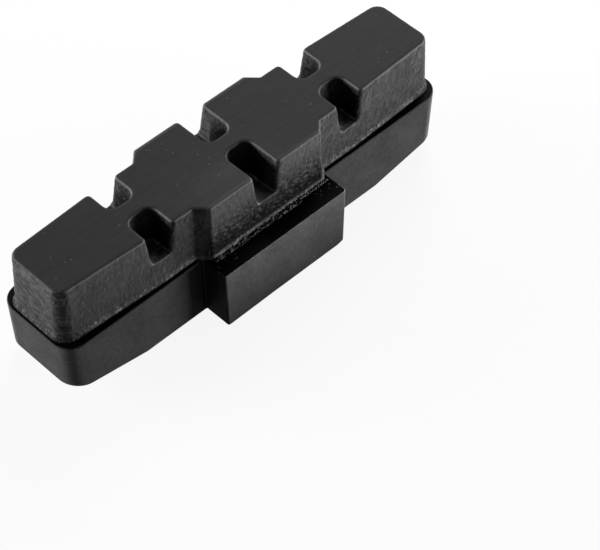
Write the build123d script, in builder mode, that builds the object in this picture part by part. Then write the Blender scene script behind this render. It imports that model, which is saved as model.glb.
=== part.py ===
from build123d import *
import os
from math import radians, tan

# Rim brake pad, in millimetres: a rubber friction block moulded on a plastic carrier.
# The back lies at Z = 0 with the origin at its centre, +X runs along the pad
# and +Z points out of the friction face.

# Carrier bar
carrier_length = 50.0
carrier_height = 7.4
bar_width = 10.1
bar_corner_radius = 2.2
bar_end_draft = 3.6
back_flat_length = 31.2
back_end_rise = 1.6
back_edge_break = 0.15
ledge_edge_break = 0.1

# Carrier ears
ear_length = 16.1
ear_reach = 3.1
ear_end_draft = 2.2
ear_root_radius = 0.12
ear_edge_radius = 0.2

# Socket for the stud of the brake piston, in the middle of the back
socket_diameter = 10.0
socket_depth = 5.0
socket_lead_in = 0.4

# Friction block, with its plan measured at the foot
block_height = 6.7
block_draft = 1.9
block_corner_radius = 1.5
block_tip_taper = 0.55
end_ledge = 0.25
side_ledge = 0.4
step_depth = 1.2
step_run = 1.2
step_inset = 0.8
step_hollow_radius = 1.5
step_nose_radius = 0.6
friction_edge_radius = 0.33

# Bead of rubber round the foot
bead_reach = 0.25
bead_height = 0.4
bead_edge_break = 0.2

# Side slots, in facing pairs, measured at the friction face
slots_a_side = 3
slot_width = 3.2
slot_depth = 3.8
slot_draft = 7.5
slot_end_radius = 1.1
slot_mouth_radius = 0.45
slot_floor_break = 0.12
slot_web = 1.9
shoulder_land = 2.35

# Places that follow from the sizes above
half_bar = bar_width / 2
half_span = half_bar + ear_reach
bar_end_x = carrier_length / 2
bar_heel_x = bar_end_x - (carrier_height - back_end_rise) * tan(radians(bar_end_draft))
ear_end_x = ear_length / 2
ear_heel_x = ear_end_x - carrier_height * tan(radians(ear_end_draft))
foot_end_x = bar_end_x - end_ledge - bead_reach
foot_shoulder_y = half_bar - side_ledge - bead_reach
foot_middle_y = foot_shoulder_y + step_depth
step_head_x = ear_end_x - step_inset
step_foot_x = step_head_x + step_run
outer_slot_x = step_foot_x + shoulder_land + slot_width / 2
slot_inner_y = slot_web / 2
slot_reach = half_span - slot_inner_y
halfway_out_y = (slot_inner_y + foot_shoulder_y) / 2
friction_z = carrier_height + block_height
slot_floor_z = friction_z - slot_depth
bead_top_z = carrier_height + bead_height
touch = 0.001


def at_x(x):
    """Gives a test for a shape whose centre is at plus or minus x."""
    return lambda shape: abs(abs(shape.center().X) - x) < touch


def at_y(y):
    """Gives a test for a shape whose centre is at plus or minus y."""
    return lambda shape: abs(abs(shape.center().Y) - y) < touch


def at_z(z):
    """Gives a test for a shape whose centre is at height z."""
    return lambda shape: abs(shape.center().Z - z) < touch


def at_mouth(edge):
    """Tests for an edge that lies wholly in the outer half of a slot."""
    box = edge.bounding_box()
    return min(abs(box.min.Y), abs(box.max.Y)) > halfway_out_y


def climbs_slot(edge):
    """Tests for an edge that climbs most of the way up a slot's wall, and no higher."""
    return slot_depth / 2 < edge.bounding_box().size.Z < slot_depth + touch


os.makedirs("parts", exist_ok=True)

# Carrier: the plastic backing
with BuildPart() as carrier:
    # The bar, drawn from the side, with leaning ends and a back that rises towards them
    with BuildSketch(Plane.XZ):
        with BuildLine():
            Polyline(
                (0, 0),
                (back_flat_length / 2, 0),
                (bar_heel_x, back_end_rise),
                (bar_end_x, carrier_height),
                (0, carrier_height),
            )
            mirror(about=Plane.YZ)
        make_face()
    extrude(amount=half_bar, both=True)
    bar_uprights = carrier.edges().filter_by(at_x((bar_heel_x + bar_end_x) / 2)).filter_by(at_y(half_bar))
    fillet(bar_uprights, bar_corner_radius)
    # The ears, one on each side, drawn from the side as one block through the bar
    with BuildSketch(Plane.XZ):
        with BuildLine():
            Polyline((0, 0), (ear_heel_x, 0), (ear_end_x, carrier_height), (0, carrier_height))
            mirror(about=Plane.YZ)
        make_face()
    extrude(amount=half_span, both=True)
    ear_uprights = carrier.edges().filter_by(at_x((ear_heel_x + ear_end_x) / 2))
    fillet(ear_uprights.filter_by(at_y(half_bar)), ear_root_radius)
    fillet(ear_uprights.filter_by(at_y(half_span)), ear_edge_radius)
    # Softened rims of the ledge and the back
    chamfer(carrier.faces().sort_by(Axis.Z)[-1].edges(), ledge_edge_break)
    back_faces = carrier.faces().filter_by(lambda face: face.center().Z < back_end_rise)
    chamfer(back_faces.edges().filter_by(at_x(back_flat_length / 2), reverse=True), back_edge_break)
    # The blind socket
    with BuildSketch(Plane.XY):
        Circle(socket_diameter / 2)
    extrude(amount=socket_depth, mode=Mode.SUBTRACT)
    back_circles = carrier.edges().filter_by(GeomType.CIRCLE).filter_by(at_z(0))
    chamfer(back_circles.sort_by(SortBy.RADIUS)[-1], socket_lead_in)
carrier.part.label = "carrier"
export_step(carrier.part, "parts/carrier.step")

# Slot core: the tapered peg that leaves one slot, standing on its wide end
with BuildPart() as slot_core:
    with BuildSketch(Plane.XY):
        RectangleRounded(slot_width, slot_reach, slot_end_radius)
    extrude(amount=slot_depth, taper=slot_draft)

# Friction block: the rubber, moulded on the carrier's ledge
with BuildPart() as friction_block:
    # The body, a stepped plan drafted on every wall
    with BuildSketch(Plane.XY.offset(carrier_height)) as foot_plan:
        with BuildLine():
            Polyline(
                (foot_end_x, 0),
                (foot_end_x, foot_shoulder_y - block_tip_taper),
                (outer_slot_x, foot_shoulder_y),
                (step_foot_x, foot_shoulder_y),
                (step_head_x, foot_middle_y),
                (0, foot_middle_y),
            )
            mirror(about=Plane.YZ)
            mirror(about=Plane.XZ)
        make_face()
        plan_corners = foot_plan.vertices().filter_by(at_y(0), reverse=True)
        fillet(plan_corners.filter_by(at_x(foot_end_x)), block_corner_radius)
        fillet(plan_corners.filter_by(at_x(step_foot_x)), step_hollow_radius)
        fillet(plan_corners.filter_by(at_x(step_head_x)), step_nose_radius)
    extrude(amount=block_height, taper=block_draft)
    # The slots, which narrow towards their floors and leave a web between facing ones
    with Locations((0, 0, friction_z)):
        with GridLocations(outer_slot_x, slot_web + slot_reach, slots_a_side, 2):
            add(slot_core.part, rotation=(180, 0, 0), mode=Mode.SUBTRACT)
    # Broken slot floors, and rounded slot mouths and friction face
    slot_floors = friction_block.faces().filter_by(at_z(slot_floor_z))
    chamfer(slot_floors.edges().filter_by(at_mouth, reverse=True), slot_floor_break)
    fillet(friction_block.edges().filter_by(at_mouth).filter_by(climbs_slot), slot_mouth_radius)
    fillet(friction_block.faces().sort_by(Axis.Z)[-1].edges(), friction_edge_radius)
    # The bead
    with BuildSketch(Plane.XY.offset(carrier_height)):
        add(foot_plan.sketch_local)
        offset(amount=bead_reach, kind=Kind.INTERSECTION)
    extrude(amount=bead_height)
    bead_top = friction_block.faces().filter_by(at_z(bead_top_z)).sort_by(SortBy.AREA)[-1]
    chamfer(bead_top.outer_wire().edges(), bead_edge_break)
friction_block.part.label = "friction_block"
export_step(friction_block.part, "parts/friction_block.step")
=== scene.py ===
"""Looks of a bicycle rim brake pad: a slotted rubber block moulded on a plastic carrier.

Lengths are in metres, as in the frame, and MM turns a size in millimetres into metres.
"""
import logging
import math
from dataclasses import dataclass
from enum import Enum
from typing import Any, Callable

import bpy
import numpy as np
from mathutils import Matrix, Vector, noise


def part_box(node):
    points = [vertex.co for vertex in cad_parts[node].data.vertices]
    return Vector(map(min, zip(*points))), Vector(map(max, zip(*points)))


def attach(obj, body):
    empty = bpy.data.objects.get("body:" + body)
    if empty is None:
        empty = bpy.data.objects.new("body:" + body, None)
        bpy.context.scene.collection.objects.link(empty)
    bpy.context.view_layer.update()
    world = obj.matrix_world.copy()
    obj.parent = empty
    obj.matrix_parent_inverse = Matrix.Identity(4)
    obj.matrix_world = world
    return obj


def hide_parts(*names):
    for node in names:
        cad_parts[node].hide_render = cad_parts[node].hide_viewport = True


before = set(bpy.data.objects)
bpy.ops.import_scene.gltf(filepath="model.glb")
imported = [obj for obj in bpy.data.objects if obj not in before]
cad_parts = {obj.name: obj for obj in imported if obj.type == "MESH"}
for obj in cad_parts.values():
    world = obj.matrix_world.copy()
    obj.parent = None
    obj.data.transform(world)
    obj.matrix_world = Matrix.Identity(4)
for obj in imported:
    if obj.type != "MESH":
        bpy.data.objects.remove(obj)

LOG = logging.getLogger("brake_pad")
BODY = "root"
MM = 0.001
WELD = 0.001 * MM
TONE = "tone"

# Sockets of the Mix node when it mixes colours
MIX_A = 6
MIX_B = 7
MIX_RESULT = 2

# The start and end of a range, and a value for each of X, Y and Z
Span = tuple[float, float]
Triple = tuple[float, float, float]

# Short names for Blender's types
Piece = bpy.types.Object
Material = bpy.types.Material
Tree = bpy.types.NodeTree
Node = bpy.types.Node
Socket = bpy.types.NodeSocket


class Slot(Enum):
    """The record's material slots."""

    CARRIER = "carrier_plastic"
    BLOCK = "block_rubber"


class Zone(Enum):
    """Parts of the rubber's surface that took up a relief of their own in the mould."""

    WALLS = "side_walls"
    WRINKLES = "wrinkled_walls"
    ENDS = "end_walls"
    MIDDLE = "middle_walls"
    CORNERS = "tip_corners"
    FOOT = "foot_bead"
    SLOTS = "slot_walls"


class Pattern(Enum):
    """Noise that a relief follows."""

    LUMPS = "SOFT_NOISE"
    CRUMBS = "HARD_NOISE"


@dataclass(frozen=True)
class Relief:
    """A raised pattern on one zone of the rubber.

    Attributes:
        zone: The part of the surface that it covers.
        pattern: The noise that it follows.
        grain: The size of one lump along X, Y and Z, in millimetres.
        depth: The height of the tallest lump above the deepest hollow, in millimetres.
        contrast: How far its heights are painted paler and its hollows painted darker, a painted highlight
            and shade, as a share of the tone.
        lean: How far its lumps lean over about Y, in degrees.
    """

    zone: Zone
    pattern: Pattern
    grain: Triple
    depth: float
    contrast: float
    lean: float = 0.0


def to_linear(hex_colour: str) -> tuple[float, float, float, float]:
    """Turns an sRGB hex colour into linear values.

    Args:
        hex_colour: A colour such as "#303030".

    Returns:
        Linear red, green and blue, with an alpha of 1.
    """
    channels = []
    for start in (1, 3, 5):
        level = int(hex_colour[start:start + 2], 16) / 255
        low = level / 12.92
        high = ((level + 0.055) / 1.055) ** 2.4
        channels.append(low if level <= 0.04045 else high)
    return (channels[0], channels[1], channels[2], 1.0)


def add_node(tree: Tree, kind: str, inputs: dict[Any, Any] | None = None, **settings: Any) -> Node:
    """Adds a node with its settings, and fills or links its inputs.

    Args:
        tree: The node tree that takes the node.
        kind: The node's type name.
        inputs: A value or an output socket for each input, by the input's name or number.
        settings: The node's own settings.

    Returns:
        The new node.
    """
    node = tree.nodes.new(kind)
    for name, value in settings.items():
        setattr(node, name, value)
    for name, value in (inputs or {}).items():
        socket = node.inputs[name]
        if isinstance(value, Socket):
            tree.links.new(value, socket)
        else:
            socket.default_value = value
    return node


def over(span: Span) -> dict[str, float]:
    """Gives the inputs for the range that values are mapped from."""
    return {"From Min": span[0], "From Max": span[1]}


def onto(span: Span) -> dict[str, float]:
    """Gives the inputs for the range that values are mapped to."""
    return {"To Min": span[0], "To Max": span[1]}


def within(span_mm: Span) -> dict[int, float]:
    """Gives the inputs with which a length is compared with a span in millimetres."""
    low, high = span_mm
    return {1: (low + high) / 2 * MM, 2: (high - low) / 2 * MM}


def new_material(name: str) -> tuple[Material, Tree]:
    """Makes a material with an empty node tree.

    Args:
        name: The material's name.

    Returns:
        The material and its tree.
    """
    material = bpy.data.materials.new(name)
    material.use_nodes = True
    material.node_tree.nodes.clear()
    return material, material.node_tree


def speck_share(tree: Tree, spot: Socket, cell_mm: float, left_out: float) -> Socket:
    """Scatters small round specks of dust over a surface.

    Args:
        tree: The material's tree.
        spot: The place on the surface.
        cell_mm: The mean distance between specks before any are left out, in millimetres.
        left_out: The share of them that is left out.

    Returns:
        How far each place is covered by a speck, from 0 to 1.
    """
    edge, core = 0.12, 0.04
    cells = add_node(tree, "ShaderNodeTexVoronoi",
                     {"Vector": spot, "Scale": 1 / (cell_mm * MM), "Randomness": 1.0})
    dot = add_node(tree, "ShaderNodeMapRange", {"Value": cells.outputs["Distance"], **over((edge, core))})
    lot = add_node(tree, "ShaderNodeSeparateColor", {0: cells.outputs["Color"]})
    kept = add_node(tree, "ShaderNodeMath", {0: lot.outputs[0], 1: left_out}, operation="GREATER_THAN")
    faint = add_node(tree, "ShaderNodeMath", {0: kept.outputs[0], 1: lot.outputs[1]}, operation="MULTIPLY")
    share = add_node(tree, "ShaderNodeMath", {0: dot.outputs[0], 1: faint.outputs[0]}, operation="MULTIPLY")
    return share.outputs[0]


def ramp(span: Span, values: np.ndarray) -> np.ndarray:
    """Goes smoothly from 0 where a value is at a span's start to 1 where it is at its end."""
    share = np.clip((values - span[0]) / (span[1] - span[0]), 0, 1)
    return share * share * (3 - 2 * share)


def blend(start: Any, end: Any, share: np.ndarray) -> np.ndarray:
    """Goes evenly from start where a share is 0 to end where it is 1."""
    return start + (end - start) * share


def select_only(piece: Piece) -> None:
    """Selects one piece and makes it active.

    Args:
        piece: The piece.
    """
    bpy.ops.object.select_all(action="DESELECT")
    piece.select_set(True)
    bpy.context.view_layer.objects.active = piece


def apply_modifier(piece: Piece, name: str, kind: str, **settings: Any) -> None:
    """Adds a modifier to a piece and applies it.

    Args:
        piece: The piece that the modifier changes.
        name: The modifier's name.
        kind: The modifier's type.
        settings: The modifier's own settings.
    """
    select_only(piece)
    modifier = piece.modifiers.new(name, kind)
    for setting, value in settings.items():
        setattr(modifier, setting, value)
    bpy.ops.object.modifier_apply(modifier=modifier.name)


def edit_mesh(piece: Piece, operator: Callable[..., Any], **settings: Any) -> None:
    """Runs one of Blender's mesh operators on the whole of a piece.

    Args:
        piece: The piece that the operator changes.
        operator: The operator.
        settings: The operator's own settings.
    """
    select_only(piece)
    bpy.ops.object.mode_set(mode="EDIT")
    bpy.ops.mesh.select_all(action="SELECT")
    operator(**settings)
    bpy.ops.object.mode_set(mode="OBJECT")


def copy_of_node(node: str, name: str) -> Piece:
    """Copies a CAD node's mesh into a new piece and merges its loose triangles.

    Args:
        node: The CAD node's name.
        name: The new piece's name.

    Returns:
        The new piece.
    """
    piece = bpy.data.objects.new(name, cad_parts[node].data.copy())
    bpy.context.scene.collection.objects.link(piece)
    edit_mesh(piece, bpy.ops.mesh.remove_doubles, threshold=WELD)
    return piece


def points_and_normals(piece: Piece) -> tuple[np.ndarray, np.ndarray]:
    """Reads a mesh's points and their normals.

    Args:
        piece: The piece to read.

    Returns:
        The points in millimetres and the unit normals, one row each.
    """
    count = len(piece.data.vertices)
    points = np.empty(count * 3, np.float32)
    normals = np.empty(count * 3, np.float32)
    piece.data.vertices.foreach_get("co", points)
    piece.data.vertices.foreach_get("normal", normals)
    return points.reshape(-1, 3) / MM, normals.reshape(-1, 3)


def write_tone(piece: Piece, tone: np.ndarray) -> None:
    """Stores how pale each point of a rubber piece is, mostly painted light and shade, which its material
    reads.
    """
    attribute = piece.data.attributes.new(TONE, "FLOAT", "POINT")
    attribute.data.foreach_set("value", tone.astype(np.float32))


@dataclass(frozen=True)
class MouldedRubber:
    """Carbon-black brake rubber, pressed in a mould.

    Matte and nearly black, with a dry grain and fine pits on the walls, a nearly smooth
    friction face, faint pale streaks and a few specks of dust.
    """

    name: str = "moulded_brake_rubber"
    dark: str = "#373737"
    pale: str = "#3d3d3d"
    speck: str = "#6c6b68"
    roughness: Span = (0.49, 0.61)
    specular: float = 0.05
    mottle_mm: float = 1.6
    streak_mm: Triple = (9.0, 0.5, 2.0)
    mottle_range: Span = (0.12, 0.4)
    speck_mm: float = 0.9
    specks_left_out: float = 0.2
    wall_facing: Span = (0.9, 0.4)
    wall_bump: Span = (0.12, 1.0)
    bump_mm: float = 0.045
    grain_mm: float = 0.2
    pit_mm: float = 0.5
    pit_rim: Span = (0.1, 0.4)

    def make(self) -> Material:
        """Builds the material's nodes.

        Returns:
            The material.
        """
        material, tree = new_material(self.name)
        place = add_node(tree, "ShaderNodeTexCoord")
        spot = place.outputs["Object"]
        mottle = add_node(tree, "ShaderNodeTexNoise",
                          {"Vector": spot, "Scale": 1 / (self.mottle_mm * MM), "Detail": 4.0})
        facing = add_node(tree, "ShaderNodeSeparateXYZ", {0: place.outputs["Normal"]})
        wall = add_node(tree, "ShaderNodeMapRange",
                        {"Value": facing.outputs["Z"], **over(self.wall_facing), **onto(self.wall_bump)})
        grain = add_node(tree, "ShaderNodeTexNoise",
                         {"Vector": spot, "Scale": 1 / (self.grain_mm * MM), "Detail": 3.0})
        pit = add_node(tree, "ShaderNodeTexVoronoi",
                       {"Vector": spot, "Scale": 1 / (self.pit_mm * MM), "Randomness": 1.0})
        pit_bowl = add_node(tree, "ShaderNodeMapRange",
                            {"Value": pit.outputs["Distance"], **over(self.pit_rim)})
        height = add_node(tree, "ShaderNodeMath",
                          {0: grain.outputs[0], 1: pit_bowl.outputs[0]}, operation="ADD")
        bump = add_node(tree, "ShaderNodeBump",
                        {"Strength": wall.outputs[0], "Distance": self.bump_mm * MM,
                         "Height": height.outputs[0]})
        shine = add_node(tree, "ShaderNodeMapRange", {"Value": mottle.outputs[0], **onto(self.roughness)})
        shader = add_node(tree, "ShaderNodeBsdfPrincipled",
                          {"Base Color": self.colour(tree, spot, mottle.outputs[0]),
                           "Roughness": shine.outputs[0], "Specular IOR Level": self.specular,
                           "Normal": bump.outputs[0]})
        add_node(tree, "ShaderNodeOutputMaterial", {"Surface": shader.outputs[0]})
        return material

    def colour(self, tree: Tree, spot: Socket, mottle: Socket) -> Socket:
        """Mixes soft clouds, streaks drawn out along the pad, the stored tone, which is mostly painted light
        and shade, and sparse dust.

        Args:
            tree: The material's tree.
            spot: The place on the surface.
            mottle: The clouds.

        Returns:
            The colour.
        """
        stretch = tuple(1 / (size * MM) for size in self.streak_mm)
        streak_place = add_node(tree, "ShaderNodeMapping", {"Vector": spot, "Scale": stretch})
        streak = add_node(tree, "ShaderNodeTexNoise",
                          {"Vector": streak_place.outputs[0], "Scale": 1.0, "Detail": 5.0})
        tone = add_node(tree, "ShaderNodeMath", {0: mottle, 1: streak.outputs[0]}, operation="MULTIPLY")
        tone_level = add_node(tree, "ShaderNodeMapRange",
                              {"Value": tone.outputs[0], **over(self.mottle_range)})
        base = add_node(tree, "ShaderNodeMix",
                        {0: tone_level.outputs[0], MIX_A: to_linear(self.dark), MIX_B: to_linear(self.pale)},
                        data_type="RGBA")
        # The stored tone: painted shade, highlights and reflections, random crumb tones and painted glints
        painted_light_tone = add_node(tree, "ShaderNodeAttribute", attribute_name=TONE)
        toned = add_node(tree, "ShaderNodeVectorMath",
                         {0: base.outputs[MIX_RESULT], "Scale": painted_light_tone.outputs["Fac"]}, operation="SCALE")
        dusty = add_node(tree, "ShaderNodeMix",
                         {0: speck_share(tree, spot, self.speck_mm, self.specks_left_out),
                          MIX_A: toned.outputs[0], MIX_B: to_linear(self.speck)},
                         data_type="RGBA")
        return dusty.outputs[MIX_RESULT]


@dataclass(frozen=True)
class MouldedNylon:
    """Black nylon, injection moulded.

    Satin and even, a shade warmer than the rubber, with soft flow clouds, a fine haze and a few
    specks of dust. Corners, ends and the upper part of the ears get painted light, the ears' ends
    get painted shade, and the ledge and the tops of the ears get painted shade.
    """

    name: str = "moulded_black_nylon"
    dark: str = "#373636"
    pale: str = "#484747"
    painted_ledge_shade: str = "#201f1f"
    speck: str = "#5c5a5a"
    roughness: Span = (0.44, 0.56)
    specular: float = 0.02
    cloud_mm: float = 3.0
    haze_mm: float = 0.4
    mottle_range: Span = (0.65, 1.35)
    speck_mm: float = 1.3
    specks_left_out: float = 0.5
    bump_mm: float = 0.01
    bump_strength: float = 0.3
    ledge_mm: float = 7.39
    ear_mm: float = 7.0
    ear_front_light: Span = (0.55, 1.86)
    ear_side_shade: float = 0.25
    ear_side_mm: Span = (7.7, 8.3)
    ear_root_mm: Span = (5.0, 8.05)
    rim_mm: Span = (7.3, 7.39)
    rim_highlight: float = 1.7
    end_facing: Span = (0.6, 0.95)
    end_painted_light: Span = (1.0, 1.25)
    corner_turn: Span = (0.1, 0.5)
    corner_painted_light: Span = (3.0, 1.8)

    def make(self) -> Material:
        """Builds the material's nodes.

        Returns:
            The material.
        """
        material, tree = new_material(self.name)
        place = add_node(tree, "ShaderNodeTexCoord")
        spot = place.outputs["Object"]
        where = add_node(tree, "ShaderNodeSeparateXYZ", {0: spot})
        cloud = add_node(tree, "ShaderNodeTexNoise",
                         {"Vector": spot, "Scale": 1 / (self.cloud_mm * MM), "Detail": 3.0})
        haze = add_node(tree, "ShaderNodeTexNoise",
                        {"Vector": spot, "Scale": 1 / (self.haze_mm * MM), "Detail": 3.0})
        mottle = add_node(tree, "ShaderNodeMath", {0: cloud.outputs[0], 1: haze.outputs[0]}, operation="ADD")
        tone_level = add_node(tree, "ShaderNodeMapRange",
                              {"Value": mottle.outputs[0], **over(self.mottle_range)})
        base = add_node(tree, "ShaderNodeMix",
                        {0: tone_level.outputs[0], MIX_A: to_linear(self.dark), MIX_B: to_linear(self.pale)},
                        data_type="RGBA")
        painted_lit = add_node(tree, "ShaderNodeVectorMath",
                           {0: base.outputs[MIX_RESULT],
                            "Scale": self.painted_light_level(tree, where, place.outputs["Normal"])},
                           operation="SCALE")
        dusty = add_node(tree, "ShaderNodeMix",
                         {0: speck_share(tree, spot, self.speck_mm, self.specks_left_out),
                          MIX_A: painted_lit.outputs[0], MIX_B: to_linear(self.speck)},
                         data_type="RGBA")
        # Painted shade: the ledge and the tops of the ears, above the ledge's height, are blacker
        on_ledge = add_node(tree, "ShaderNodeMath", {0: where.outputs["Z"], 1: self.ledge_mm * MM},
                            operation="GREATER_THAN")
        colour = add_node(tree, "ShaderNodeMix",
                          {0: on_ledge.outputs[0], MIX_A: dusty.outputs[MIX_RESULT],
                           MIX_B: to_linear(self.painted_ledge_shade)},
                          data_type="RGBA")
        bump = add_node(tree, "ShaderNodeBump",
                        {"Strength": self.bump_strength, "Distance": self.bump_mm * MM,
                         "Height": haze.outputs[0]})
        shine = add_node(tree, "ShaderNodeMapRange", {"Value": haze.outputs[0], **onto(self.roughness)})
        shader = add_node(tree, "ShaderNodeBsdfPrincipled",
                          {"Base Color": colour.outputs[MIX_RESULT], "Roughness": shine.outputs[0],
                           "Specular IOR Level": self.specular, "Normal": bump.outputs[0]})
        add_node(tree, "ShaderNodeOutputMaterial", {"Surface": shader.outputs[0]})
        return material

    def painted_light_level(self, tree: Tree, where: Node, normal: Socket) -> Socket:
        """Works out how much paler or darker than the plain plastic a place is painted, as painted light and
        shade.

        Args:
            tree: The material's tree.
            where: The node that gives the place along X, Y and Z.
            normal: The way that the surface faces.

        Returns:
            The level by which the plain colour is scaled.
        """
        along = add_node(tree, "ShaderNodeMath", {0: where.outputs["X"]}, operation="ABSOLUTE")
        outward = add_node(tree, "ShaderNodeMath", {0: where.outputs["Y"]}, operation="ABSOLUTE")
        # Painted shade on the ends of the ears, and a painted highlight on their rims
        at_end = add_node(tree, "ShaderNodeMath", {0: along.outputs[0], **within(self.ear_side_mm)},
                          operation="COMPARE")
        past_root = add_node(tree, "ShaderNodeMath", {0: outward.outputs[0], **within(self.ear_root_mm)},
                             operation="COMPARE")
        on_side = add_node(tree, "ShaderNodeMath", {0: at_end.outputs[0], 1: past_root.outputs[0]},
                           operation="MULTIPLY")
        side_level = add_node(tree, "ShaderNodeMapRange",
                              {"Value": on_side.outputs[0], **onto((1.0, self.ear_side_shade))})
        on_ear = add_node(tree, "ShaderNodeMath", {0: outward.outputs[0], 1: self.ear_mm * MM},
                          operation="GREATER_THAN")
        at_rim = add_node(tree, "ShaderNodeMath", {0: where.outputs["Z"], **within(self.rim_mm)},
                          operation="COMPARE")
        on_rim = add_node(tree, "ShaderNodeMath", {0: on_ear.outputs[0], 1: at_rim.outputs[0]},
                          operation="MULTIPLY")
        rim_level = add_node(tree, "ShaderNodeMapRange",
                             {"Value": on_rim.outputs[0], "To Min": side_level.outputs[0],
                              "To Max": self.rim_highlight})
        # Painted light: the fronts of the ears pale upwards
        ear_front_gradient = add_node(tree, "ShaderNodeMapRange",
                         {"Value": where.outputs["Z"], **over((0.0, self.ledge_mm * MM)),
                          **onto(self.ear_front_light)})
        ear_front_level = add_node(tree, "ShaderNodeMapRange",
                               {"Value": on_ear.outputs[0], "To Min": 1.0, "To Max": ear_front_gradient.outputs[0]})
        ear_level = add_node(tree, "ShaderNodeMath", {0: ear_front_level.outputs[0], 1: rim_level.outputs[0]},
                             operation="MULTIPLY")
        # Painted light: walls that face along the bar are a little paler, and upright corners much paler
        facing = add_node(tree, "ShaderNodeSeparateXYZ", {0: normal})
        endways = add_node(tree, "ShaderNodeMath", {0: facing.outputs["X"]}, operation="ABSOLUTE")
        end_level = add_node(tree, "ShaderNodeMapRange",
                             {"Value": endways.outputs[0], **over(self.end_facing), **onto(self.end_painted_light)})
        turn = add_node(tree, "ShaderNodeMath", {0: facing.outputs["X"], 1: facing.outputs["Y"]},
                        operation="MULTIPLY")
        turned = add_node(tree, "ShaderNodeMath", {0: turn.outputs[0]}, operation="ABSOLUTE")
        corner_top = add_node(tree, "ShaderNodeMapRange",
                              {"Value": on_ear.outputs[0], **onto(self.corner_painted_light)})
        corner_level = add_node(tree, "ShaderNodeMapRange",
                                {"Value": turned.outputs[0], **over(self.corner_turn),
                                 "To Min": end_level.outputs[0], "To Max": corner_top.outputs[0]})
        level = add_node(tree, "ShaderNodeMath", {0: ear_level.outputs[0], 1: corner_level.outputs[0]},
                         operation="MULTIPLY")
        return level.outputs[0]


@dataclass(frozen=True)
class WhiteCard:
    """Matte white card under the pad.

    It shows white to the eye and in reflections, keeps the pad's soft shadow,
    and throws little light back up at the pad.
    """

    name: str = "matte_white_card"
    white: str = "#ffffff"
    bounce: str = "#8c8c8c"
    glow: float = 0.9

    def make(self) -> Material:
        """Builds the material's nodes.

        Returns:
            The material.
        """
        material, tree = new_material(self.name)
        path = add_node(tree, "ShaderNodeLightPath")
        seen = add_node(tree, "ShaderNodeMath",
                        {0: path.outputs["Is Camera Ray"], 1: path.outputs["Is Glossy Ray"]},
                        operation="MAXIMUM")
        shown = add_node(tree, "ShaderNodeMath",
                         {0: seen.outputs[0], 1: path.outputs["Is Transmission Ray"]},
                         operation="MAXIMUM")
        tone = add_node(tree, "ShaderNodeMix",
                        {0: shown.outputs[0], MIX_A: to_linear(self.bounce), MIX_B: to_linear(self.white)},
                        data_type="RGBA")
        card = add_node(tree, "ShaderNodeBsdfDiffuse", {"Color": tone.outputs[MIX_RESULT]})
        light = add_node(tree, "ShaderNodeEmission", {"Color": to_linear(self.white), "Strength": 1.0})
        share = add_node(tree, "ShaderNodeMath", {0: shown.outputs[0], 1: self.glow}, operation="MULTIPLY")
        surface = add_node(tree, "ShaderNodeMixShader",
                           {0: share.outputs[0], 1: card.outputs[0], 2: light.outputs[0]})
        add_node(tree, "ShaderNodeOutputMaterial", {"Surface": surface.outputs[0]})
        return material


class Part:
    """A sub-assembly of the pad, built as one piece in one material."""

    def dress(self, piece: Piece, material: Material) -> None:
        """Gives the piece its material."""
        piece.data.materials.clear()
        piece.data.materials.append(material)


@dataclass(frozen=True)
class BlockZones:
    """Where the zones of the rubber block lie.

    Each span runs from where a zone has not begun to where it is full. Places are in millimetres.

    Attributes:
        foot_z: The height of the block's foot.
        face_z: The height of its friction face.
    """

    foot_z: float
    face_z: float
    # Heights above the foot, and a depth below the friction face
    off_underside: Span = (0.02, 0.15)
    below_bead_top: Span = (0.75, 0.6)
    above_bead: Span = (0.6, 0.9)
    rippled: Span = (5.2, 1.56)
    below_face: Span = (0.2, 0.6)
    # Distances from the middle along the pad, and a place along it
    in_middle: Span = (7.9, 7.3)
    off_middle: Span = (7.6, 8.2)
    short_of_tip: Span = (21.5, 21.0)
    tip: Span = (21.5, 22.0)
    wrinkled: Span = (-16.0, -13.5)
    # Distances from the middle across the pad
    middle_wall: Span = (4.75, 4.95)
    slotted: Span = (4.0, 3.6)
    # Shares of the normal
    upright: Span = (0.75, 0.3)
    turned: Span = (0.25, 0.6)
    endways: Span = (0.6, 0.9)

    def weights(self, zone: Zone, points: np.ndarray, normals: np.ndarray) -> np.ndarray:
        """Works out how far each point belongs to a zone.

        Args:
            zone: The zone.
            points: The mesh's points, in millimetres.
            normals: The mesh's normals.

        Returns:
            A share from 0 to 1 for each point.
        """
        along, across, _ = np.abs(points.T)
        rise = points[:, 2] - self.foot_z
        facing_x, facing_y, facing_z = np.abs(normals.T)
        wall = ramp(self.upright, facing_z) * ramp(self.above_bead, rise)
        if zone is Zone.MIDDLE:
            middle = ramp(self.in_middle, along) * ramp(self.middle_wall, across)
            return wall * middle * ramp(self.rippled, rise)
        if zone is Zone.CORNERS:
            return wall * ramp(self.turned, facing_x) * ramp(self.turned, facing_y) * ramp(self.tip, along)
        if zone is Zone.FOOT:
            return ramp(self.off_underside, rise) * ramp(self.below_bead_top, rise)
        inside = ramp(self.slotted, across) * ramp(self.short_of_tip, along)
        if zone is Zone.SLOTS:
            return inside * ramp(self.below_face, self.face_z - points[:, 2])
        endways = ramp(self.endways, facing_x)
        if zone is Zone.ENDS:
            return wall * endways * (1 - inside)
        side_wall = wall * (1 - endways) * (1 - inside)
        if zone is Zone.WRINKLES:
            return side_wall * ramp(self.off_middle, along) * ramp(self.wrinkled, points[:, 0])
        return side_wall


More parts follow.
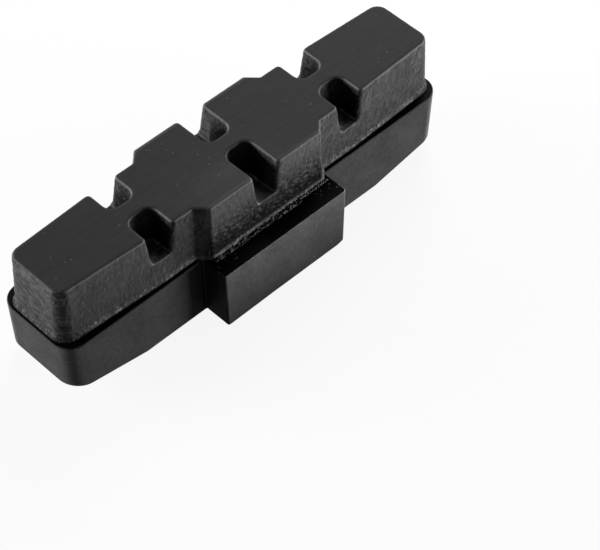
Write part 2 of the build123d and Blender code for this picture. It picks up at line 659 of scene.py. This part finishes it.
@dataclass(frozen=True)
class BlockTones:
    """Painted light and shade on the rubber from place to place, as shares of its own tone.

    A span of tones goes from its first to its second over a span of places or facings.
    Places are in millimetres.

    Attributes:
        zones: Where the zones of the block lie.
    """

    zones: BlockZones
    # Walls: a painted reflection, dark at the foot of the middle and pale higher up; painted light up the
    # shoulders; painted shadow by the left step
    middle_wall: Span = (4.8, 5.1)
    climb: Span = (8.5, 13.0)
    climb_power: float = 1.3
    middle_tone: Span = (0.15, 1.75)
    shoulder_facing: Span = (0.5, 0.8)
    shoulder_tone: Span = (1.0, 1.35)
    left_step: Span = (-13.5, -9.5)
    step_painted_shadow: float = 0.65
    # Friction face: a painted sheen near the middle of its front
    face_facing: Span = (0.9, 0.98)
    sheen_spot: Span = (-3.0, -3.6)
    sheen_reach: Span = (5.0, 2.6)
    sheen_tone: float = 1.4
    # End walls: painted light, paler towards the friction face
    end_facing: Span = (0.4, 0.7)
    end_place: Span = (20.5, 21.5)
    end_climb: Span = (11.0, 13.4)
    end_tone: Span = (1.15, 1.4)
    # Slots: painted shade towards their floor, deepest in the front slots and the inner back slots, and
    # painted highlights on the floor and its rims
    front: Span = (0.5, 1.5)
    deep: Span = (3.8, 2.4)
    slot_climb: Span = (11.9, 13.7)
    slot_foot_tone: float = 0.25
    front_slot_tone: float = 0.65
    back_slot_tone: float = 0.45
    slot_floor: float = 10.3
    by_floor: Span = (0.3, 0.2)
    # Painted highlights on the floors, creases and sills of the slots: tones at the back and in front
    floor_facing: Span = (0.4, 0.7)
    floor_tone: Span = (0.6, 3.0)
    crease_facing: Span = (0.3, 0.5)
    crease_tone: Span = (1.5, 7.0)
    sill_facing: Span = (0.2, 0.45)
    sill_tone: Span = (1.2, 3.0)
    # Corners: painted shade, most of all just under the friction face
    corner_turn: Span = (0.12, 0.35)
    corner_tone: float = 0.65
    corner_head: Span = (12.8, 13.6)
    corner_head_tone: float = 0.6
    # Rims round the friction face: painted highlights, on two sides of it most of all
    rim_height: Span = (13.6, 13.75)
    rim_start: Span = (0.25, 0.45)
    rim_end: Span = (0.88, 0.72)
    rim_side: Span = (0.1, 0.4)
    rim_least: float = 0.35
    rim_tone: float = 3.0
    end_rim_tone: float = 1.8
    # Bead at the foot: a painted highlight on the lip and, away from the middle, painted shade on its side
    lip_height: Span = (7.88, 7.76)
    lip_facing: Span = (0.3, 0.55)
    lip_tone: Span = (2.0, 0.9)
    lip_side_tone: Span = (0.35, 1.6)

    def plain(self, points: np.ndarray, normals: np.ndarray) -> np.ndarray:
        """Works out the painted light and shade of each point, before the reliefs.

        Args:
            points: The mesh's points, in millimetres.
            normals: The mesh's normals.

        Returns:
            The share of the rubber's own tone for each point.
        """
        along, across, height = points.T
        facing_x, facing_y, facing_z = normals.T
        low, high = self.climb
        climb = np.clip((height - low) / (high - low), 0, 1) ** self.climb_power
        on_middle = ramp(self.middle_wall, np.abs(across))
        tone = blend(1, blend(*self.middle_tone, climb), on_middle)
        on_shoulder = ramp(self.shoulder_facing, facing_y * np.sign(across)) * (1 - on_middle)
        tone = tone * blend(1, blend(*self.shoulder_tone, climb), on_shoulder)
        # Painted shadow of the middle's step on the left shoulder
        by_step = ramp(self.left_step, along) * (along < 0)
        tone = tone * blend(1, self.step_painted_shadow, by_step * on_shoulder)
        # Painted sheen: a paler patch near the front of the friction face
        spot_x, spot_y = self.sheen_spot
        reach_x, reach_y = self.sheen_reach
        patch = np.exp(-((along - spot_x) / reach_x) ** 2 - ((across - spot_y) / reach_y) ** 2)
        tone = tone * blend(1, self.sheen_tone, patch * ramp(self.face_facing, facing_z))
        on_end = ramp(self.end_facing, np.abs(facing_x)) * ramp(self.end_place, np.abs(along))
        tone = tone * blend(1, blend(*self.end_tone, ramp(self.end_climb, height)), on_end)
        tone = self.with_slots(tone, points, normals)
        return self.with_edges(tone, points, normals, on_middle, on_end)

    def with_slots(self, tone: np.ndarray, points: np.ndarray, normals: np.ndarray) -> np.ndarray:
        """Paints shade on the slots' walls, and highlights on their floors and the rims of these.

        Args:
            tone: The tone of each point so far.
            points: The mesh's points, in millimetres.
            normals: The mesh's normals.

        Returns:
            The tone of each point.
        """
        _, across, height = points.T
        facing_x, facing_y, facing_z = normals.T
        in_front = ramp(self.front, -across)
        at_back = (1 - in_front) * ramp(self.deep, np.abs(across))
        slot_tone = blend(self.slot_foot_tone, 1, ramp(self.slot_climb, height))
        slot_tone = slot_tone * blend(1, self.front_slot_tone, in_front)
        slot_tone = slot_tone * blend(1, self.back_slot_tone, at_back)
        tone = tone * blend(1, slot_tone, self.zones.weights(Zone.SLOTS, points, normals))
        by_floor = ramp(self.by_floor, np.abs(height - self.slot_floor))
        floor = ramp(self.floor_facing, facing_z)
        crease = ramp(self.crease_facing, facing_z) * ramp(self.crease_facing, -facing_x)
        sill = ramp(self.sill_facing, facing_z) * ramp(self.sill_facing, facing_y * np.sign(across))
        for tones, share in ((self.floor_tone, floor), (self.crease_tone, crease), (self.sill_tone, sill)):
            tone = blend(tone, blend(*tones, in_front), by_floor * share)
        return tone

    def with_edges(self, tone: np.ndarray, points: np.ndarray, normals: np.ndarray,
                   on_middle: np.ndarray, on_end: np.ndarray) -> np.ndarray:
        """Paints shade on the corners, and highlights on the rims round the friction face and on the lip at
        the foot.

        Args:
            tone: The tone of each point so far.
            points: The mesh's points, in millimetres.
            normals: The mesh's normals.
            on_middle: How far each point is on a wall of the middle.
            on_end: How far each point is on an end wall.

        Returns:
            The tone of each point.
        """
        along, _, height = points.T
        facing_x, facing_y, facing_z = normals.T
        turned = ramp(self.corner_turn, facing_x * facing_y)
        at_tip = ramp(self.zones.tip, np.abs(along))
        tone = tone * blend(1, self.corner_tone, turned * at_tip)
        tone = tone * blend(1, self.corner_head_tone, turned * ramp(self.corner_head, height))
        band = ramp(self.rim_start, facing_z) * ramp(self.rim_end, facing_z)
        # Painted rim highlights, strongest on rims that face -X or -Y
        lit_side = blend(self.rim_least, 1, ramp(self.rim_side, -np.minimum(facing_x, facing_y)))
        rim = band * ramp(self.rim_height, height) * lit_side * (1 - turned)
        tone = blend(tone, blend(self.rim_tone, self.end_rim_tone, on_end), rim)
        lip_side = blend(*self.lip_side_tone, on_middle)
        lip_tone = blend(lip_side, blend(*self.lip_tone, at_tip), ramp(self.lip_facing, facing_z))
        return blend(tone, lip_tone, ramp(self.lip_height, height))


@dataclass
class FrictionBlock(Part):
    """The slotted rubber block, with the relief that its mould left on it.

    Sizes are in millimetres.
    """

    node: str = "friction_block"
    voxel: float = 0.13
    downward: float = -0.9
    # Shares from which a point moves with a relief, and counts towards its spread
    least_share: float = 0.01
    main_share: float = 0.5
    spread_limit: float = 2.5
    reliefs: tuple[Relief, ...] = (
        Relief(Zone.WALLS, Pattern.LUMPS, grain=(0.3, 0.3, 0.6), depth=0.07, contrast=0.1),
        Relief(Zone.WRINKLES, Pattern.LUMPS, grain=(0.28, 0.5, 0.8), depth=0.08, contrast=0.16, lean=40.0),
        Relief(Zone.ENDS, Pattern.LUMPS, grain=(0.5, 0.8, 0.28), depth=0.1, contrast=0.24),
        Relief(Zone.MIDDLE, Pattern.LUMPS, grain=(0.55, 0.4, 0.19), depth=0.22, contrast=0.68, lean=32.0),
        Relief(Zone.CORNERS, Pattern.LUMPS, grain=(1.6, 1.6, 0.42), depth=0.14, contrast=0.25),
        Relief(Zone.FOOT, Pattern.CRUMBS, grain=(0.26, 0.26, 0.26), depth=0.08, contrast=0.5),
        Relief(Zone.SLOTS, Pattern.LUMPS, grain=(0.4, 0.4, 0.3), depth=0.1, contrast=0.35),
    )

    def build(self) -> Piece:
        """Makes the block from a copy of its CAD node.

        Returns:
            The finished piece.
        """
        low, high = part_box(self.node)
        zones = BlockZones(low.z / MM, high.z / MM)
        pattern = copy_of_node(self.node, "block_pattern")
        piece = copy_of_node(self.node, "rubber_block")
        # Even cells can take up the relief, and are drawn back onto the true shape first
        apply_modifier(piece, "even_cells", "REMESH", mode="VOXEL", voxel_size=self.voxel * MM)
        apply_modifier(piece, "settle", "SMOOTH", factor=0.5, iterations=2)
        apply_modifier(piece, "true_shape", "SHRINKWRAP", target=pattern, wrap_method="NEAREST_SURFACEPOINT")
        bpy.data.objects.remove(pattern)
        self.merge_underside(piece, zones.foot_z)
        # The stored tone is painted light and shade, with the reliefs' painted highlights and shade on top
        tone = BlockTones(zones).plain(*points_and_normals(piece))
        for relief in self.reliefs:
            tone = tone * self.raise_relief(piece, relief, zones)
        write_tone(piece, tone)
        select_only(piece)
        bpy.ops.object.shade_smooth()
        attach(piece, BODY)
        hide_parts(self.node)
        return piece

    def merge_underside(self, piece: Piece, foot_z: float) -> None:
        """Makes the hidden face that lies on the carrier one face.

        Args:
            piece: The block.
            foot_z: The height of that face, in millimetres.
        """
        select_only(piece)
        bpy.ops.object.mode_set(mode="EDIT")
        bpy.ops.mesh.select_mode(type="FACE")
        bpy.ops.mesh.select_all(action="DESELECT")
        bpy.ops.object.mode_set(mode="OBJECT")
        underside = foot_z + 0.5 * self.voxel
        for face in piece.data.polygons:
            face.select = face.center.z / MM < underside and face.normal.z < self.downward
        bpy.ops.object.mode_set(mode="EDIT")
        bpy.ops.mesh.dissolve_faces(use_verts=True)
        bpy.ops.object.mode_set(mode="OBJECT")

    def raise_relief(self, piece: Piece, relief: Relief, zones: BlockZones) -> np.ndarray:
        """Pushes a relief's pattern out of the surface, over its zone.

        Args:
            piece: The block.
            relief: The relief.
            zones: Where the zones of the block lie.

        Returns:
            The relief's own tone for each point, a painted highlight on its heights and painted shade in its
            hollows.
        """
        points, normals = points_and_normals(piece)
        shares = zones.weights(relief.zone, points, normals)
        group = piece.vertex_groups.new(name=relief.zone.value)
        for index in np.flatnonzero(shares > self.least_share):
            group.add([int(index)], float(shares[index]), "REPLACE")
        cloud = bpy.data.textures.new(relief.zone.value, "CLOUDS")
        cloud.noise_type = relief.pattern.value
        cloud.noise_scale = 1.0
        cloud.noise_depth = 1
        # The pattern is stretched by the space of a helper that goes away again
        helper = bpy.data.objects.new("relief_space", None)
        stretch = Matrix.Diagonal((*[size * MM for size in relief.grain], 1.0))
        helper.matrix_world = Matrix.Rotation(math.radians(relief.lean), 4, "Y") @ stretch
        bpy.context.scene.collection.objects.link(helper)
        bpy.context.view_layer.update()
        apply_modifier(piece, relief.zone.value, "DISPLACE", texture=cloud, texture_coords="OBJECT",
                       texture_coords_object=helper, vertex_group=group.name,
                       strength=relief.depth * MM, mid_level=0.5)
        bpy.data.objects.remove(helper)
        bpy.data.textures.remove(cloud)
        piece.vertex_groups.clear()
        raised = np.einsum("ij,ij->i", points_and_normals(piece)[0] - points, normals)
        inside = shares > self.main_share
        spread = (raised - raised[inside].mean() * shares) / raised[inside].std()
        return np.exp(relief.contrast * np.clip(spread, -self.spread_limit, self.spread_limit))


@dataclass
class EarFlash(Part):
    """Crumbly rubber that was squeezed out over one ear of the carrier.

    Sizes are in millimetres.

    Attributes:
        side: Which ear it lies on, -1 or 1 along Y.
        seed: The start of its run of chance.
    """

    side: int
    seed: int
    ear_top: float = 7.4
    crumb: Span = (0.04, 0.09)
    crumb_stretch: tuple[Span, Span, Span] = ((0.8, 1.7), (0.7, 1.2), (0.6, 1.1))
    voxel: float = 0.04
    # The line along the bead
    start: float = -7.3
    end: float = 7.7
    spacing: float = 0.018
    jitter: float = 0.08
    gaps: float = 0.1
    near_y: float = 5.84
    far_y: float = 6.24
    heap: float = 0.2
    heap_near: float = 1.3
    heap_fall: float = 0.6
    thin_from: float = 4.0
    thin_share: float = 0.4
    # The foot of one step
    step_foot: Triple = (-7.62, 5.42, 8.4)
    step_crumbs: int = 5
    step_spacing: float = 0.14
    step_jitter: float = 0.06
    # Crumbs that have rolled onto both ends of the ear
    stray_crumbs: int = 26
    stray_x: Span = (5.2, 7.8)
    stray_y: Span = (6.25, 7.3)
    stray_lift: float = 0.03
    stray_seed: int = 100
    # Tones from crumb to crumb, at random, with the palest crumbs as painted glints
    tone_grain: float = 0.1
    tone_mean: float = 1.5
    tone_swing: float = 3.4
    tone_range: Span = (0.25, 5.0)

    def build(self) -> Piece:
        """Heaps crumbs along the ear and fuses them.

        Returns:
            The finished piece.
        """
        chance = np.random.default_rng(self.seed)
        bpy.ops.object.select_all(action="DESELECT")
        piece = None
        for spot in self.crumb_spots(chance):
            stretch = [chance.uniform(*span) for span in self.crumb_stretch]
            bpy.ops.mesh.primitive_ico_sphere_add(subdivisions=1, radius=chance.uniform(*self.crumb) * MM,
                                                  location=[value * MM for value in spot], scale=stretch)
            if piece is None:
                piece = bpy.context.active_object
                bpy.ops.object.transform_apply(location=True, rotation=True, scale=True)
                bpy.ops.object.mode_set(mode="EDIT")
        bpy.ops.object.mode_set(mode="OBJECT")
        piece.name = "front_ear_flash" if self.side < 0 else "back_ear_flash"
        apply_modifier(piece, "fuse", "REMESH", mode="VOXEL", voxel_size=self.voxel * MM)
        apply_modifier(piece, "settle", "SMOOTH", factor=0.5, iterations=1)
        # The crumbs are cut off flat where they lie on the ear
        edit_mesh(piece, bpy.ops.mesh.bisect, plane_co=(0, 0, self.ear_top * MM), plane_no=(0, 0, 1),
                  use_fill=True, clear_inner=True)
        points, _ = points_and_normals(piece)
        # Random tone per crumb; the palest stand in for glints, a painted highlight
        grains = [noise.noise(Vector(point) / self.tone_grain) for point in points]
        write_tone(piece, np.clip(self.tone_mean + self.tone_swing * np.array(grains), *self.tone_range))
        select_only(piece)
        bpy.ops.object.shade_smooth()
        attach(piece, BODY)
        return piece

    def crumb_spots(self, chance: np.random.Generator) -> list[Triple]:
        """Scatters crumbs along the bead, thinner at one end, on the foot of one step and on the ear's ends.

        Args:
            chance: The run of chance.

        Returns:
            The crumbs' places, in millimetres.
        """
        spots = []
        for along in np.arange(self.start, self.end, self.spacing):
            width = 1.0 if along < self.thin_from else self.thin_share
            reach = self.near_y + (self.far_y - self.near_y) * width * chance.random()
            heap = self.heap_near - self.heap_fall * (reach - self.near_y)
            spot_z = self.ear_top + chance.uniform(0.0, self.heap) * heap
            if chance.random() > self.gaps:
                spots.append((along + chance.normal(0, self.jitter), self.side * reach, spot_z))
        foot_x, foot_y, foot_z = self.step_foot
        for crumb in range(self.step_crumbs):
            spot_z = foot_z + self.step_spacing * (crumb - self.step_crumbs / 2)
            spots.append((foot_x + chance.normal(0, self.step_jitter), self.side * foot_y, spot_z))
        stray_chance = np.random.default_rng(self.seed + self.stray_seed)
        for _ in range(self.stray_crumbs):
            spot_x = stray_chance.choice((-1, 1)) * stray_chance.uniform(*self.stray_x)
            spot_y = self.side * stray_chance.uniform(*self.stray_y)
            spots.append((spot_x, spot_y, self.ear_top + self.stray_lift))
        return spots


@dataclass(frozen=True)
class WornEdge:
    """An upright edge of an ear, worn rounder than it was moulded.

    Sizes are in millimetres.

    Attributes:
        end: The end of the ear that it is at, -1 or 1 along X.
        side: The side of the bar that the ear is on, -1 or 1 along Y.
        radius: Its radius.
        reach: How much further out than moulded the ear's end stands at its top.
        lean: How much further out still for each millimetre below the top.
        foot_wear: How far the edge's foot is worn in along X, and up.
    """

    end: int
    side: int
    radius: float
    reach: float = 0.0
    lean: float = 0.0
    foot_wear: Span = (0.0, 0.0)


@dataclass
class Carrier(Part):
    """The plastic bar with an ear on each side.

    Sizes are in millimetres, and angles in degrees.
    """

    node: str = "carrier"
    half_bar: float = 5.05
    ear_end: float = 8.05
    ear_end_draft: float = 2.2
    ear_edge_radius: float = 0.2
    ear_edge_break: float = 0.65
    smooth_angle: float = 25.0
    # How near to an ear's end, root or edge a point has to be to move with it
    by_end: float = 0.6
    by_root: float = 0.16
    by_edge: Span = (-0.02, 0.25)
    off_axis: float = 0.03
    # Heights under which a point is at the very foot, and on the broken edge over it
    foot: float = 0.1
    foot_break: float = 0.2
    worn_edges: tuple[WornEdge, ...] = (
        WornEdge(end=1, side=-1, radius=0.4, reach=0.15, lean=0.02, foot_wear=(0.5, 0.25)),
        WornEdge(end=-1, side=1, radius=1.3),
    )

    def build(self) -> Piece:
        """Makes the carrier from a copy of its CAD node.

        Returns:
            The finished piece.
        """
        piece = copy_of_node(self.node, "nylon_carrier")
        for edge in self.worn_edges:
            self.wear_edge(piece, edge)
        # The top outer edge of the back ear is cut off at 45 degrees
        _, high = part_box(self.node)
        cut_y = high.y - self.ear_edge_break * MM
        edit_mesh(piece, bpy.ops.mesh.bisect, plane_co=(0, cut_y, high.z), plane_no=(0, 1, 1),
                  use_fill=True, clear_outer=True)
        select_only(piece)
        bpy.ops.mesh.customdata_custom_splitnormals_clear()
        bpy.ops.object.shade_smooth_by_angle(angle=math.radians(self.smooth_angle))
        apply_modifier(piece, "even_light", "WEIGHTED_NORMAL", keep_sharp=True)
        # Soft light that grazes the rounded corners would show their facets
        piece.shadow_terminator_geometry_offset = 1.0
        piece.shadow_terminator_shading_offset = 0.2
        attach(piece, BODY)
        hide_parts(self.node)
        return piece

    def wear_edge(self, piece: Piece, edge: WornEdge) -> None:
        """Moves the points of an ear's end, and of its upright edge, to where wear left them.

        Args:
            piece: The carrier.
            edge: The worn edge.
        """
        _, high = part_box(self.node)
        lean_in = math.tan(math.radians(self.ear_end_draft))
        more = edge.radius - self.ear_edge_radius
        least, most = self.by_edge
        worn_in, worn_up = edge.foot_wear
        for vertex in piece.data.vertices:
            drop = (high.z - vertex.co.z) / MM
            beyond_x = edge.end * vertex.co.x / MM - (self.ear_end - drop * lean_in)
            outward = edge.side * vertex.co.y / MM
            if abs(beyond_x) < self.by_end and outward > self.half_bar - self.by_root:
                vertex.co.x += edge.end * (edge.reach + edge.lean * drop) * MM
            turn_x = beyond_x + self.ear_edge_radius
            turn_y = outward - high.y / MM + self.ear_edge_radius
            turn = math.hypot(turn_x, turn_y)
            if least < turn_x < most and least < turn_y < most and turn > self.off_axis:
                vertex.co.x += edge.end * more * (turn_x / turn - 1) * MM
                vertex.co.y += edge.side * more * (turn_y / turn - 1) * MM
                if vertex.co.z < self.foot * MM:
                    vertex.co.x -= edge.end * worn_in * MM
                elif vertex.co.z < self.foot_break * MM:
                    vertex.co.z += worn_up * MM


@dataclass(frozen=True)
class SoftBox:
    """A soft lamp that faces the pad.

    Attributes:
        name: The lamp's name.
        towards: The direction from the pad to the lamp.
        distance: How far off it stands.
        width: Its width.
        height: Its height.
        level: How bright a white card that faces it looks in its light alone.
    """

    name: str
    towards: Triple
    distance: float
    width: float
    height: float
    level: float


@dataclass
class Studio:
    """The white card, the soft lamps and the camera.

    Lengths are in metres.
    """

    card_size: float = 3.0
    card_drop: float = 0.02 * MM
    aim: Triple = (0.0, 0.0, 7.0 * MM)
    ambient: float = 0.02
    lamps: tuple[SoftBox, ...] = (
        SoftBox("back_left_strip", towards=(-0.7, 0.7, 0.16), distance=0.30,
                width=0.20, height=0.07, level=1.85),
        SoftBox("front_right_strip", towards=(0.72, -0.7, 0.04), distance=0.15,
                width=0.10, height=0.024, level=1.5),
        SoftBox("right_top", towards=(0.75, 0.5, 0.45), distance=0.16,
                width=0.09, height=0.09, level=0.3),
        SoftBox("back_right_top", towards=(0.55, 0.4, 0.73), distance=0.20,
                width=0.10, height=0.10, level=0.45),
    )
    camera_place: Triple = (-105.785 * MM, -116.769 * MM, 176.188 * MM)
    camera_target: Triple = (-2.527 * MM, -12.546 * MM, 7.0 * MM)
    camera_roll: float = 0.4055
    camera_lens: float = 141.99
    camera_sensor: float = 36.0
    camera_near: float = 0.01

    def build(self) -> None:
        """Sets up the whole studio."""
        bpy.context.scene.view_settings.view_transform = "Standard"
        self.fill_world()
        self.lay_card(WhiteCard().make())
        for box in self.lamps:
            self.hang_lamp(box)
        self.set_camera()

    def fill_world(self) -> None:
        """Fills the room with a weak even light."""
        world = bpy.data.worlds.new("dim_room")
        world.use_nodes = True
        background = world.node_tree.nodes["Background"]
        background.inputs["Color"].default_value = (1.0, 1.0, 1.0, 1.0)
        background.inputs["Strength"].default_value = self.ambient
        bpy.context.scene.world = world

    def lay_card(self, material: Material) -> None:
        """Lays the white card under the pad.

        Args:
            material: The card's material.
        """
        bpy.ops.object.select_all(action="DESELECT")
        bpy.ops.mesh.primitive_plane_add(size=self.card_size, location=(0, 0, -self.card_drop))
        card = bpy.context.active_object
        card.name = "white_card"
        card.data.materials.append(material)

    def hang_lamp(self, box: SoftBox) -> None:
        """Hangs one soft lamp.

        Args:
            box: The lamp.
        """
        light = bpy.data.lights.new(box.name, "AREA")
        light.shape = "RECTANGLE"
        light.size = box.width
        light.size_y = box.height
        light.energy = box.level * math.pi ** 2 * box.distance ** 2
        lamp = bpy.data.objects.new(box.name, light)
        bpy.context.scene.collection.objects.link(lamp)
        direction = Vector(box.towards).normalized()
        lamp.location = Vector(self.aim) + direction * box.distance
        lamp.rotation_euler = direction.to_track_quat("Z", "Y").to_euler()

    def set_camera(self) -> None:
        """Stands the camera where the photograph was taken from."""
        data = bpy.data.cameras.new("camera")
        data.lens = self.camera_lens
        data.sensor_width = self.camera_sensor
        data.clip_start = self.camera_near
        camera = bpy.data.objects.new("camera", data)
        bpy.context.scene.collection.objects.link(camera)
        place = Vector(self.camera_place)
        look = Vector(self.camera_target) - place
        turn = look.to_track_quat("-Z", "Y").to_matrix()
        roll = Matrix.Rotation(math.radians(self.camera_roll), 3, "Z")
        camera.matrix_world = Matrix.Translation(place) @ (turn @ roll).to_4x4()
        bpy.context.scene.camera = camera


def main() -> None:
    """Builds the pad's looks and the studio round it."""
    logging.basicConfig(level=logging.INFO)
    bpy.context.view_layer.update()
    rubber = MouldedRubber().make()
    plastic = MouldedNylon().make()
    parts = (
        (FrictionBlock(), rubber),
        (EarFlash(side=-1, seed=7), rubber),
        (EarFlash(side=1, seed=19), rubber),
        (Carrier(), plastic),
    )
    for part, material in parts:
        piece = part.build()
        part.dress(piece, material)
        LOG.info("%s: %d faces", piece.name, len(piece.data.polygons))
    Studio().build()


if __name__ == "__main__":
    main()
